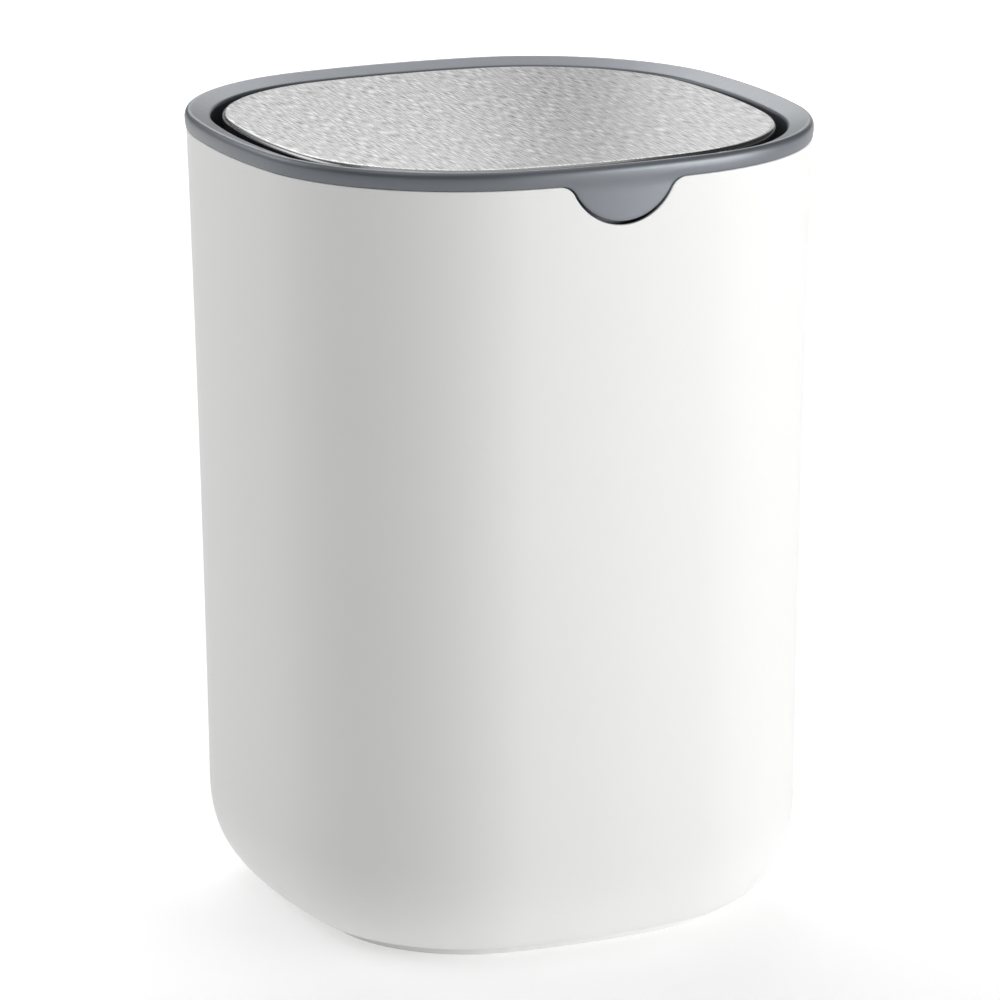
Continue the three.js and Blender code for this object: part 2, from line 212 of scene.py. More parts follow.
# ------------------------------------------------------------------ the plan outline, as columns
class Columns:
    """Points round the outline: each column has its arc's centre, radius and angle. The front side can carry
    a lower edge of its own, given as (x, z) points with the direction into the material."""

    def __init__(self, side=14, corner=42, edge=None):
        cx, cy, rr, an, ex, ez, nx, nz = ([] for _ in range(8))

        def put(c, r, a, x=None, z=None, n=(0.0, -1.0)):
            cx.append(c[0])
            cy.append(c[1])
            rr.append(r)
            an.append(a)
            ex.append(0.0 if x is None else x)
            ez.append(np.nan if z is None else z)
            nx.append(n[0])
            nz.append(n[1])

        for k in range(4):
            q = k * math.pi / 2
            c, s = round(math.cos(q)), round(math.sin(q))
            for i in range(side):
                t = TURN * i / side
                if edge is None or k != 3:
                    put((c * SIDE_C, s * SIDE_C), SIDE_R, q + t)
            for i in range(corner):
                t = TURN + (math.pi / 2 - 2 * TURN) * i / corner
                put((c * CORNER_C - s * CORNER_C, s * CORNER_C + c * CORNER_C), CORNER_R, q + t)
            q2 = (k + 1) * math.pi / 2
            c, s = round(math.cos(q2)), round(math.sin(q2))
            if edge is not None and k == 2:
                n = len(edge)
                for i, (x, z, dx, dz) in enumerate(edge):
                    t = -TURN + 2 * TURN * i / n
                    put((0.0, -SIDE_C), SIDE_R, 1.5 * math.pi + t, x, z, (dx, dz))
                continue
            for i in range(side):
                t = -TURN + TURN * i / side
                put((c * SIDE_C, s * SIDE_C), SIDE_R, q2 + t)
        self.cx, self.cy, self.rr, self.an = map(np.array, (cx, cy, rr, an))
        self.ex, self.ez, self.nx, self.nz = map(np.array, (ex, ez, nx, nz))
        self.n = len(cx)
        self.front = ~np.isnan(self.ez)

    def ring(self, inset, z):
        inset = np.broadcast_to(np.asarray(inset, float), (self.n,))
        z = np.broadcast_to(np.asarray(z, float), (self.n,))
        return self._at(inset, z, self.an)

    def _at(self, inset, z, an):
        r = self.rr - inset
        return np.stack([self.cx + r * np.cos(an), self.cy + r * np.sin(an), z], 1)

    def edge_place(self, level, d, into=-1):
        """(angle, z) of the edge curve moved by d into the material; away from the front it is at level."""
        x = self.ex + self.nx * d
        z = np.where(self.front, np.nan_to_num(self.ez) + self.nz * d, level + into * d)
        on_curve = 1.5 * math.pi + np.arcsin(x / (SIDE_R - 0.8))
        return np.where(self.front, on_curve, self.an), z

    def edge_row(self, inset_of, level, d, into=-1, mix=0.0, to_z=0.0):
        """A row d into the material from the edge, drawn mix of the way to the plain row at to_z.
        inset_of takes z and gives the inset."""
        an, z = self.edge_place(level, d, into)
        an = an * (1 - mix) + self.an * mix
        z = z * (1 - mix) + to_z * mix
        return self._at(inset_of(z), z, an)


def tab_edge(gap, level):
    """The tab's outline (gap 0) or the notch round it, seen from the front, left to right: x, z and the
    direction away from the tab."""
    cz, r, fr = TAB_Z - 4 * gap, TAB_R + gap, TAB_FILLET - gap
    fz = level - fr
    fx = math.sqrt((r + fr) ** 2 - (cz - fz) ** 2)
    a = math.degrees(math.atan2(fz - cz, fx))
    end = (SIDE_R - 0.8) * math.sin(TURN)
    left = [(x, level, 0.0, -1.0) for x in np.linspace(-end, -fx, 12, endpoint=False)]
    for t in np.radians(np.linspace(90, -a, 12, endpoint=False)):
        # left fillet, centre (-fx, fz); away from the tab is towards its centre
        left.append((-fx + fr * math.cos(t), fz + fr * math.sin(t), -math.cos(t), -math.sin(t)))
    round_ = []
    for t in np.radians(np.linspace(-180 - a, a, 72)):
        round_.append((r * math.cos(t), cz + r * math.sin(t), math.cos(t), math.sin(t)))
    right = [(-x, z, -dx, dz) for x, z, dx, dz in left[::-1]]
    return left + round_ + right[:-1]


# ------------------------------------------------------------------ profiles
def wall_inset(z):
    t = 226.1 - z
    return 0.46 + 0.02697 * t - 4.315e-5 * t * t


def inner_inset(z):
    return wall_inset(z) + WALL


def fillet_rows(low, across, up, extra, first, last, count):
    """(inset, z) down the base fillet, by equal steps of its own angle."""
    out = []
    for f in np.linspace(first, last, count):
        u = math.sin(f) ** (2 / FILLET_N)
        x = max(math.cos(f), 0.0) ** (2 / FILLET_N)
        z = low + up * (1 - u)
        out.append((wall_inset(z) + extra + across * (1 - x), z))
    return out


# ------------------------------------------------------------------ body
def build_body():
    col = Columns(edge=tab_edge(TAB_GAP, BODY_TOP))
    rings = []
    for inset, z in [
        (25.9, STEP_Z), (25.62, 3.33), (25.5, 3.1), (25.42, 0.5), (25.34, 0.27), (25.12, FOOT_LOW),
        (22.96, FOOT_LOW), (22.72, 0.24), (22.6, 0.46), (22.6, 2.95), (22.54, 3.16), (22.36, 3.28), (22.1, 3.32),
        (18.6, 3.32), (18.2, 3.36), (17.85, 3.5),
    ]:
        rings.append(col.ring(inset, z))
    stop = math.asin(((FILLET_UP - 3.8) / FILLET_UP) ** (FILLET_N / 2))
    for inset, z in fillet_rows(0, FILLET_IN, FILLET_UP, 0.0, stop, 0.0, 30):
        rings.append(col.ring(inset, z))
    for z in np.linspace(FILLET_UP, 200, 18)[1:]:
        rings.append(col.ring(wall_inset(z), z))
    for mix in (0.85, 0.68, 0.52, 0.38, 0.26, 0.16, 0.08, 0.0):
        rings.append(col.edge_row(wall_inset, BODY_TOP, 1.6, mix=mix, to_z=200))
    for d in (1.1, 0.75):
        rings.append(col.edge_row(wall_inset, BODY_TOP, d))
    r = 0.3
    for t in np.radians([0, 18, 36, 54, 72, 90]):
        rings.append(col.edge_row(lambda z, t=t: wall_inset(z) + r * (1 - math.cos(t)), BODY_TOP, r * (1 - math.sin(t))))
    q = 1.55
    for t in np.radians([90, 76, 62, 48, 34, 20, 8, 0]):
        rings.append(col.edge_row(lambda z, t=t: inner_inset(z) - q * (1 - math.cos(t)), BODY_TOP, q * (1 - math.sin(t))))
    rings.append(col.edge_row(inner_inset, BODY_TOP, 1.85))
    for mix in (0.0, 0.08, 0.16, 0.26, 0.38, 0.52, 0.68, 0.85):
        rings.append(col.edge_row(inner_inset, BODY_TOP, 2.2, mix=mix, to_z=200))
    for z in np.linspace(200, 32.7, 16):
        rings.append(col.ring(inner_inset(z), z))
    for inset, z in fillet_rows(FLOOR_IN, 24.0, 27.0, WALL, 0.0, math.pi / 2, 26)[1:]:
        rings.append(col.ring(inset, z))
    body = loft("bin_shell", rings, start=(0.93, 0.8, 0.6, 0.4, 0.2), end=(0.9, 0.7, 0.45, 0.2))
    cups, holes = [], []
    for i, (x, y) in enumerate(PAD_AT):
        cups.append(turned(f"cup{i}", [(0, FOOT_LOW), (6.7, FOOT_LOW), (6.9, 0.22), (7.0, 0.42), (7.35, 4.4), (0, 4.4)], 48, at=(x, y)))
        holes.append(turned(f"hole{i}", [(0, -1), (5.95, -1), (5.8, 0.3), (5.8, 1.6), (0, 1.6)], 48, at=(x, y)))
    # the gate's mark in the middle of the underside
    holes.append(turned("gate", [(0, 2), (3.2, 2), (3.0, 3.9), (2.7, 4.1), (0, 4.1)], 40))
    combine(body, cups, "UNION")
    combine(body, holes, "DIFFERENCE")
    return soften(body)


# ------------------------------------------------------------------ rim
def rim_crest():
    """The rim's top from its widest line to its inner wall: a tight outer crest, a land that falls inwards, and
    a round inner edge."""
    h, land = HEIGHT, math.radians(19.1)
    out = [(1.3 - 1.3 * math.cos(t), h - 2.1 + 2.1 * math.sin(t)) for t in np.linspace(0, math.pi / 2, 13)]
    out += [(1.3 + 2.2 * math.sin(t), h - 2.2 + 2.2 * math.cos(t)) for t in np.linspace(0, land, 5)[1:]]
    x, z = out[-1]
    out += [(v, z - (v - x) * math.tan(land)) for v in np.linspace(x, 6.7, 8)[1:]]
    r = (RIM_INNER - 6.7) / (1 - math.sin(land))
    z = out[-1][1]
    out += [(6.7 + r * (math.sin(t) - math.sin(land)), z + r * (math.cos(t) - math.cos(land))) for t in np.linspace(land, math.pi / 2, 12)[1:]]
    return out


def face_inset(z):
    """The rim's outer face below its widest line: it sinks to the body's wall and then keeps its draft."""
    t = np.clip((RIM_LOW + 2.6 - z) / 4, 0, 1)
    return 0.40 * t * t * (3 - 2 * t) + 0.027 * np.maximum(BODY_TOP - z, 0)


def build_rim():
    col = Columns(edge=[(x, z, -dx, -dz) for x, z, dx, dz in tab_edge(0.0, RIM_LOW)])
    wide = RIM_LOW + 2.6
    rings = []

    def row(extra, d, mix=0.0):
        rings.append(col.edge_row(lambda z: face_inset(z) + extra, RIM_LOW, d, into=1, mix=mix, to_z=wide))

    def back(inset, d, mix=0.0):
        rings.append(col.edge_row(lambda z: inset + 0.0 * z, RIM_LOW, d, into=1, mix=mix, to_z=228.5))

    e = 0.3
    for t in np.radians([0, 15, 30, 45, 60, 75, 90]):
        row(e * (1 - math.sin(t)), e * (1 - math.cos(t)))
    row(0.0, 1.1)
    row(0.0, 1.6)
    for mix in (0.0, 0.12, 0.25, 0.4, 0.55, 0.7, 0.82, 0.92):
        row(0.0, 2.0, mix)
    for inset, z in rim_crest():
        rings.append(col.ring(inset, z))
    for z in (227, 224, 220, 215, 210, 206.3):
        rings.append(col.ring(RIM_INNER, z))
    for inset, z in [(7.31, 206.0), (7.22, 205.78), (7.0, 205.62), (6.8, RIM_LEG_LOW), (6.0, RIM_LEG_LOW), (5.8, 205.62), (5.6, 205.78), (5.5, 206.0)]:
        rings.append(col.ring(inset, z))
    for z in (210, 216, 222):
        rings.append(col.ring(5.5 - 0.2 * (z - 205.6) / 23.3, z))
    for inset, z in [(5.3, 227.85), (5.24, 228.15), (5.05, 228.37), (4.75, 228.5), (3.6, 228.82), (3.34, 228.82), (3.17, 228.72), (3.1, 228.55)]:
        rings.append(col.ring(inset, z))
    for mix in (0.92, 0.82, 0.7, 0.55, 0.4, 0.25, 0.12, 0.0):
        back(3.1 - 0.1 * (1 - mix), 2.0, mix)
    for d in (1.3, 0.8, 0.4):
        back(3.0, d)
    back(2.93, 0.16)
    back(2.72, 0.03)
    back(2.5, 0.0)
    back(1.9, 0.0)
    back(1.2, 0.0)
    rim = loft("rim_ring", rings, closed=True)

    # ribs that centre the rim in the body
    joined = []
    for i, deg in enumerate([38, 52, 128, 142, 218, 232, 308, 322]):
        a = math.radians(deg)
        r = lambda inset: CORNER_C * math.sqrt(2) * math.cos(a - (math.floor(deg / 90) * 90 + 45) * math.pi / 180) + math.sqrt(
            max((CORNER_R - inset) ** 2 - (CORNER_C * math.sqrt(2) * math.sin(a - (math.floor(deg / 90) * 90 + 45) * math.pi / 180)) ** 2, 0)
        )
        pts = [(r(5.9), 229.15), (r(5.9), 214.0), (r(4.6), 214.0), (r(4.3), 214.15), (r(3.62), 215.2), (r(3.5), 215.5), (r(3.25), 226.2), (r(2.6), 226.9), (r(2.6), 229.15)]
        blade = slab(f"rib{i}", pts, -0.8, 0.8, "y", edge=0.18)
        blade.data.transform(Matrix.Rotation(a, 4, "Z"))
        joined.append(blade)
    # a pillar each side
    flank = math.radians(SWING_DEG)
    low = RIM_LEG_LOW + 0.4 - AXIS_Z
    foot = (HEAD_R - low * math.cos(flank)) / math.sin(flank)
    pillar = [*arc(0, AXIS_Z, HEAD_R, 90 - SWING_DEG, 90 + SWING_DEG, 28), (-foot, AXIS_Z + low), (foot, AXIS_Z + low)]
    bores = []
    for s in (-1, 1):
        x0, x1 = (PILLAR_IN, 78.7) if s > 0 else (-78.7, -PILLAR_IN)
        joined.append(slab(f"pillar{s}", pillar, x0, x1, "x", edge=0.35))
        bores.append(turned(f"bore{s}", [(0, 70), (BUSH_R + 0.65, 70), (BUSH_R + 0.65, 71.5), (BUSH_R + 0.3, 71.85), (BUSH_R + 0.3, 77.2), (0, 77.2)], 56, axis="x", sign=s))
    combine(rim, joined, "UNION")
    combine(rim, bores, "DIFFERENCE")
    return soften(rim)


def build_bush(side, s):
    b = PIN_R + 0.25
    pts = [(b + 0.15, 70.6), (3.45, 70.6), (3.6, 70.75), (3.6, 71.1), (3.5, 71.2), (BUSH_R, 71.25), (BUSH_R, 76.6), (BUSH_R - 0.3, 76.9), (b + 0.15, 76.9), (b, 76.75), (b, 70.75)]
    return soften(turned(f"bush_{side}", pts, 64, axis="x", sign=s))


def build_pin(side, s):
    pts = [(0, 63.8), (1.9, 63.8), (2.3, 63.85), (2.6, 64.05), (2.7, 64.3), (2.7, 64.8), (2.6, 65.0), (PIN_R + 0.12, 65.0), (PIN_R, 65.12), (PIN_R, 76.1), (PIN_R - 0.12, 76.4), (PIN_R - 0.45, 76.7), (0, 76.7)]
    return soften(turned(f"pin_{side}", pts, 64, axis="x", sign=s))


# ------------------------------------------------------------------ lid
def build_cover():
    col = Columns()
    rings = []
    x, z = LID_EDGE + 1.5, LID_TOP - 1.5  # middle of the rolled edge
    for t in np.radians(np.linspace(90, 0, 9)):
        rings.append(col.ring(x - 1.0 * math.cos(t), z + 1.0 * math.sin(t)))
    for inset, level in [(LID_EDGE + 0.5, z - 0.4), (LID_EDGE + 0.42, z - 0.49), (LID_EDGE + 0.08, z - 0.49), (LID_EDGE, z - 0.4), (LID_EDGE, z - 0.2)]:
        rings.append(col.ring(inset, level))
    for t in np.radians(np.linspace(0, 90, 15)):
        rings.append(col.ring(x - 1.5 * math.cos(t), z + 1.5 * math.sin(t)))
    return soften(loft("steel_cover", rings, start=(0.985, 0.94, 0.8, 0.6, 0.4, 0.2), end=(0.985, 0.94, 0.85, 0.7, 0.55, 0.4, 0.25, 0.12)), 40)


def build_tray():
    col = Columns()
    rings = []
    for inset, z in [
        (13.3, TRAY_UNDER), (12.9, TRAY_UNDER - 0.05), (12.68, TRAY_UNDER - 0.2), (12.6, TRAY_UNDER - 0.45),
        (12.6, SKIRT_LOW + 0.25), (12.52, SKIRT_LOW + 0.07), (12.3, SKIRT_LOW), (11.2, SKIRT_LOW), (10.95, SKIRT_LOW + 0.08), (10.8, SKIRT_LOW + 0.3),
        (10.8, TRAY_TOP - 0.6), (10.86, TRAY_TOP - 0.3), (11.05, TRAY_TOP - 0.1), (11.4, TRAY_TOP),
    ]:
        rings.append(col.ring(inset + LID_EDGE - 10, z))
    tray = loft("lid_carrier", rings, start=(0.9, 0.7, 0.45, 0.2), end=(0.9, 0.7, 0.45, 0.2))
    joined, cut = [], []
    for s in (-1, 1):
        ear = [*arc(0, AXIS_Z, HEAD_R, -180, 0, 28), (4.4, AXIS_Z + 2.6), (5.0, TRAY_UNDER - 1.2), (6.2, TRAY_UNDER + 0.3), (-6.2, TRAY_UNDER + 0.3), (-5.0, TRAY_UNDER - 1.2), (-4.4, AXIS_Z + 2.6)]
        e0, e1 = (65.3, 70.3) if s > 0 else (-70.3, -65.3)
        joined.append(slab(f"ear{s}", ear, e0, e1, "x", edge=0.3))
        cut.append(turned(f"hole{s}", [(0, 60), (PIN_R + 0.3, 60), (PIN_R + 0.3, 75), (0, 75)], 48, axis="x", sign=s))
    for i, (x, y) in enumerate(SCREW_AT):
        joined.append(turned(f"boss{i}", [(0, FLANGE_TOP + 0.3), (3.2, FLANGE_TOP + 0.3), (3.4, FLANGE_TOP + 0.5), (3.75, TRAY_UNDER - 0.5), (4.3, TRAY_UNDER + 0.3), (0, TRAY_UNDER + 0.3)], 40, at=(x, y)))
        cut.append(turned(f"pilot{i}", [(0, FLANGE_TOP - 1), (1.75, FLANGE_TOP - 1), (1.75, FLANGE_TOP + 0.3), (1.45, FLANGE_TOP + 0.6), (1.45, TRAY_TOP - 0.8), (0, TRAY_TOP - 0.8)], 32, at=(x, y)))
    for i, x in enumerate((-30, 30)):
        z0 = BAR["z1"] + 0.3
        pts = [(-9, TRAY_UNDER + 0.3), (-9, z0 + 0.5), (-8.5, z0), (8.5, z0), (9, z0 + 0.5), (9, TRAY_UNDER + 0.3)]
        joined.append(slab(f"web{i}", pts, x - 1, x + 1, "x", edge=0.2))
    combine(tray, joined, "UNION")
    combine(tray, cut, "DIFFERENCE")
    return soften(tray)


def rounded_rect(hx, hy, r, z, per=10):
    pts = []
    for sx, sy, a in [(1, 1, 0), (-1, 1, 90), (-1, -1, 180), (1, -1, 270)]:
        for i in range(per + 1):
            t = math.radians(a + 90 * i / per)
            pts.append((sx * (hx - r) + r * math.cos(t), sy * (hy - r) + r * math.sin(t), z))
    return pts


def build_pan():
    f, b = FLANGE_TOP, BAR["z0"]
    rows = [
        (53.0, 13.6, 1.8, b - 0.3), (53.2, 13.8, 2.0, b - 0.2), (53.3, 14.0, 2.1, b + 0.1), (53.7, 16.3, 2.6, b + 4.3), (54.2, 19.2, 3.2, b + 9.4),
        (54.7, 22.0, 3.9, f - 0.6), (54.8, 22.4, 4.0, f - 0.15), (55.1, 22.8, 4.2, f),
        (62.1, 35.1, 6.7, f), (62.4, 35.4, 6.95, f - 0.12), (62.5, 35.5, 7.0, f - 0.4), (62.5, 35.5, 7.0, f - 1.2), (62.4, 35.4, 6.95, f - 1.48), (62.1, 35.1, 6.7, f - 1.6),
        (57.4, 25.2, 6.2, f - 1.6), (56.8, 24.5, 5.9, f - 1.75), (56.5, 24.0, 5.7, f - 2.2), (56.0, 20.9, 4.9, b + 8.2), (55.5, 18.2, 4.2, b + 3.4), (55.05, 15.9, 3.7, b - 0.6),
        (54.9, 15.4, 3.5, b - 1.2), (54.5, 15.0, 3.1, b - 1.7), (54.0, 14.5, 2.6, b - 1.9),
    ]
    pan = loft("lid_pan", [rounded_rect(*r) for r in rows], start=(0.9, 0.6, 0.3), end=(0.95, 0.6, 0.3))
    holes = [turned(f"screw_hole{i}", [(0, 218), (1.6, 218), (1.6, 226), (0, 226)], 32, at=at) for i, at in enumerate(SCREW_AT)]
    combine(pan, holes, "DIFFERENCE")
    return soften(pan)


def bevelled_box(name, lo, hi, width, segments=3):
    bm = bmesh.new()
    bmesh.ops.create_cube(bm, size=1.0)
    lo, hi = np.array(lo, float) * MM, np.array(hi, float) * MM
    for v in bm.verts:
        v.co = Vector(((lo + hi) / 2 + np.array(v.co) * (hi - lo)).tolist())
    bmesh.ops.bevel(bm, geom=bm.edges, offset=width * MM, segments=segments, profile=0.5, affect="EDGES")
    mesh = bpy.data.meshes.new(name)
    bm.to_mesh(mesh)
    bm.free()
    obj = bpy.data.objects.new(name, mesh)
    bpy.context.scene.collection.objects.link(obj)
    return obj


def build_strip(i, y):
    """A strip of bonding foam: its cut edges bulge a little and its long sides waver."""
    z0, z1 = TRAY_TOP + 0.3, LID_TOP - 0.8
    rng = np.random.default_rng(11 + i)
    phase = rng.uniform(0, 2 * math.pi, 4)
    rows = []
    for share, grow in [(0.0, -0.25), (0.12, -0.1), (0.35, 0.0), (0.65, 0.0), (0.88, -0.1), (1.0, -0.25)]:
        pts = np.array(rounded_rect(49.8 + grow, 6.8 + grow, 1.2, z0 + (z1 - z0) * share, per=6))
        # more points along the long sides
        dense = []
        for a, b in zip(pts, np.roll(pts, -1, 0)):
            n = 40 if abs(a[0] - b[0]) > 20 else (6 if abs(a[1] - b[1]) > 5 else 1)
            dense += [a + (b - a) * k / n for k in range(n)]
        p = np.array(dense)
        side = np.sign(p[:, 1])
        p[:, 1] += side * 0.08 * np.sin(p[:, 0] * 0.21 + phase[0] + side * phase[1]) * np.clip(np.abs(p[:, 1]) - 5, 0, 1)
        p[:, 0] += 0.0
        p[:, 1] += y
        rows.append(p)
    return soften(loft(f"foam_strip_{i + 1}", rows, start=(0.9, 0.5), end=(0.9, 0.5)), 50)


def build_screw(i, at, turn_deg):
    """Pan-head thread-forming screw: cross recess, plain neck, and a rolled thread into the boss."""
    head_low, head_top, tip = 220.1, FLANGE_TOP - 1.9, TRAY_TOP - 1.2
    n = 40
    rings = []
    head = [(0.9, 220.1), (1.7, 220.12), (2.2, 220.22), (2.55, 220.45), (2.76, 220.8), (2.8, 221.1), (2.8, head_top - 0.1), (2.72, head_top), (1.35, head_top), (1.18, head_top + 0.12)]
    ang = np.linspace(0, 2 * math.pi, n, endpoint=False)
    for r, z in head:
        rings.append(np.stack([r * np.cos(ang), r * np.sin(ang), np.full(n, z)], 1))
    pitch, z0, z1 = 0.9, head_top + 0.5, tip - 0.5
    for z in np.linspace(z0, z1, 60):
        ph = ((z / pitch) - ang / (2 * math.pi)) % 1.0
        tooth = np.clip(1 - np.abs(ph - 0.5) / 0.28, 0, 1)
        fade = min(1.0, (z - z0) / 0.5, (z1 - z) / 0.9)
        r = 1.02 + 0.33 * tooth * max(fade, 0)
        r = r * (1 if z < z1 - 0.7 else 0.75 + 0.25 * (z1 - z) / 0.7)
        rings.append(np.stack([r * np.cos(ang), r * np.sin(ang), np.full(n, z)], 1))
    rings.append(np.stack([0.3 * np.cos(ang), 0.3 * np.sin(ang), np.full(n, tip - 0.1)], 1))
    screw = loft(f"screw_{i + 1}", rings, start=(0.5,), end=(0.5,))
    cross = []
    for k in range(2):
        pts = [(-1.55, 219.9), (1.55, 219.9), (1.25, 220.5), (0.5, 221.15), (-0.5, 221.15), (-1.25, 220.5)]
        c = slab(f"cross{k}", pts, -0.28, 0.28, "y" if k == 0 else "x")
        cross.append(c)
    combine(screw, cross, "DIFFERENCE")
    soften(screw, 35)
    screw.data.transform(Matrix.Translation((at[0] * MM, at[1] * MM, 0)) @ Matrix.Rotation(math.radians(turn_deg), 4, "Z"))
    return screw


def build_foot(i, at):
    pts = [(0, 0.0), (4.6, 0.0), (5.0, 0.05), (5.35, 0.2), (5.5, 0.45), (5.5, 1.1), (5.4, 1.25), (5.2, 1.3), (0, 1.3)]
    return soften(turned(f"grip_foot_{i + 1}", pts, 56, at=at))


# ------------------------------------------------------------------ materials
class Nodes:
    def __init__(self, name):
        self.mat = bpy.data.materials.new(name)
        self.mat.use_nodes = True
        self.tree = self.mat.node_tree
        self.tree.nodes.clear()
        self.out = self.add("ShaderNodeOutputMaterial")
        self.bsdf = self.add("ShaderNodeBsdfPrincipled")
        self.tree.links.new(self.bsdf.outputs[0], self.out.inputs[0])
        self.coord = self.add("ShaderNodeTexCoord").outputs["Object"]

    def add(self, kind, **inputs):
        node = self.tree.nodes.new(kind)
        for key, value in inputs.items():
            key = key.replace("_", " ")
            if hasattr(value, "is_output"):
                self.tree.links.new(value, node.inputs[key])
            else:
                node.inputs[key].default_value = value
        return node

    def link(self, a, b):
        self.tree.links.new(a, b)

    def set(self, **values):
        for key, value in values.items():
            self.bsdf.inputs[key.replace("_", " ")].default_value = value

    def stretch(self, scale, turn=(0, 0, 0)):
        m = self.add("ShaderNodeMapping")
        self.link(self.coord, m.inputs["Vector"])
        m.inputs["Scale"].default_value = scale
        m.inputs["Rotation"].default_value = turn
        return m.outputs[0]

    def noise(self, scale, detail=2.0, rough=0.5, where=None, distortion=0.0):
        n = self.add("ShaderNodeTexNoise", Scale=scale, Detail=detail, Roughness=rough, Distortion=distortion)
        self.link(where if where is not None else self.coord, n.inputs["Vector"])
        return n.outputs[0]

    def span(self, value, a, b, lo, hi):
        m = self.add("ShaderNodeMapRange")
        self.link(value, m.inputs["Value"])
        m.inputs["From Min"].default_value = a
        m.inputs["From Max"].default_value = b
        m.inputs["To Min"].default_value = lo
        m.inputs["To Max"].default_value = hi
        return m.outputs[0]

    def math(self, op, a, b):
        m = self.tree.nodes.new("ShaderNodeMath")
        m.operation = op
        for i, v in enumerate((a, b)):
            if hasattr(v, "is_output"):
                self.link(v, m.inputs[i])
            else:
                m.inputs[i].default_value = v
        return m.outputs[0]

    def ramp(self, value, stops):
        r = self.tree.nodes.new("ShaderNodeValToRGB")
        self.link(value, r.inputs[0])
        els = r.color_ramp.elements
        while len(els) < len(stops):
            els.new(0.5)
        for e, (p, c) in zip(els, stops):
            e.position, e.color = p, (*c, 1)
        return r.outputs[0]

    def bump(self, height, distance, strength=1.0, normal=None):
        b = self.add("ShaderNodeBump", Strength=strength, Distance=distance)
        self.link(height, b.inputs["Height"])
        if normal is not None:
            self.link(normal, b.inputs["Normal"])
        return b.outputs[0]


def moulded(name, color, vary, rough, grain=0.00028, depth=0.000004, ior=1.5, metallic=0.0):
    """Moulded plastic: a fine spark-eroded skin, and faint slow changes of tone and gloss."""
    n = Nodes(name)
    slow = n.noise(14.0, 3.0, 0.5)
    dark = tuple(c * (1 - vary) for c in color)
    light = tuple(min(c * (1 + vary), 1.0) for c in color)
    n.link(n.ramp(slow, [(0.3, dark), (0.7, light)]), n.bsdf.inputs["Base Color"])
    skin = n.noise(1 / grain, 2.0, 0.6)
    broad = n.noise(0.12 / grain, 2.0, 0.5)
    r = n.span(n.math("ADD", n.math("MULTIPLY", skin, 0.6), n.math("MULTIPLY", broad, 0.4)), 0.3, 0.7, rough - 0.04, rough + 0.04)
    n.link(r, n.bsdf.inputs["Roughness"])
    n.link(n.bump(skin, depth), n.bsdf.inputs["Normal"])
    n.set(IOR=ior, Metallic=metallic)
    return n.mat


def brushed(name):
    """Stainless sheet brushed front to back: short fine hairlines along Y, with a fine salt of grain between, whose
    light and dark are set in the base colour as painted glints and painted dark reflections of the brushed grooves.
    They fade out over the rolled edge, which is smooth."""
    n = Nodes(name)
    hairline_glint = n.noise(1.0, 0.0, 0.5, n.stretch((3600.0, 170.0, 900.0)))
    grain = n.noise(1.0, 0.0, 0.5, n.stretch((5200.0, 1900.0, 1500.0)))
    mix = n.math("ADD", n.math("MULTIPLY", hairline_glint, 0.70), n.math("MULTIPLY", grain, 0.30))
    place = n.add("ShaderNodeSeparateXYZ")
    n.link(n.coord, place.inputs[0])
    flat = n.span(place.outputs["Z"], (LID_TOP - 0.12) * MM, (LID_TOP - 0.02) * MM, 0.0, 1.0)
    mix = n.math("ADD", n.math("MULTIPLY", n.math("SUBTRACT", mix, 0.5), flat), 0.5)
    # painted glints: this ramp makes the brushing pattern light and dark in the base colour, standing in for the
    # grooves' glints and dark reflections
    n.link(n.ramp(mix, [(0.35, (0.10, 0.10, 0.101)), (0.5, (0.312, 0.312, 0.312)), (0.65, (0.57, 0.57, 0.565))]), n.bsdf.inputs["Base Color"])
    n.link(n.span(flat, 0.0, 1.0, 0.20, 0.28), n.bsdf.inputs["Roughness"])
    n.link(n.bump(mix, 0.000010), n.bsdf.inputs["Normal"])
    lay = n.add("ShaderNodeVectorTransform")
    lay.vector_type, lay.convert_from, lay.convert_to = "VECTOR", "OBJECT", "WORLD"
    lay.inputs[0].default_value = (0, 1, 0)
    n.link(lay.outputs[0], n.bsdf.inputs["Tangent"])
    n.set(Metallic=1.0, Anisotropic=0.5)
    return n.mat


def metal(name, color, rough, axis_scale, depth=0.000003):
    """Plain worked steel: drawn or turned marks and a faint mottle."""
    n = Nodes(name)
    marks = n.noise(1.0, 3.0, 0.6, n.stretch(axis_scale))
    spots = n.noise(260.0, 4.0, 0.6)
    mix = n.math("ADD", n.math("MULTIPLY", marks, 0.6), n.math("MULTIPLY", spots, 0.4))
    n.link(n.ramp(mix, [(0.3, tuple(c * 0.8 for c in color)), (0.7, tuple(min(1, c * 1.15) for c in color))]), n.bsdf.inputs["Base Color"])
    n.link(n.span(mix, 0.3, 0.7, rough - 0.08, rough + 0.1), n.bsdf.inputs["Roughness"])
    n.link(n.bump(marks, depth), n.bsdf.inputs["Normal"])
    n.set(Metallic=1.0)
    return n.mat


def soft_stuff(name, color, rough, cell, depth, holes=False):
    """Foam or rubber: open cells, or a matt skin with a faint bloom."""
    n = Nodes(name)
    slow = n.noise(60.0, 3.0, 0.6)
    n.link(n.ramp(slow, [(0.3, tuple(c * 0.9 for c in color)), (0.7, tuple(min(1, c * 1.06) for c in color))]), n.bsdf.inputs["Base Color"])
    if holes:
        v = n.add("ShaderNodeTexVoronoi", Scale=1 / cell)
        n.link(n.coord, v.inputs["Vector"])
        height = v.outputs["Distance"]
    else:
        height = n.noise(1 / cell, 3.0, 0.6)
    n.link(n.bump(height, depth), n.bsdf.inputs["Normal"])
    n.link(n.span(slow, 0.3, 0.7, rough - 0.05, rough + 0.05), n.bsdf.inputs["Roughness"])
    n.set(Specular_IOR_Level=0.35)
    return n.mat


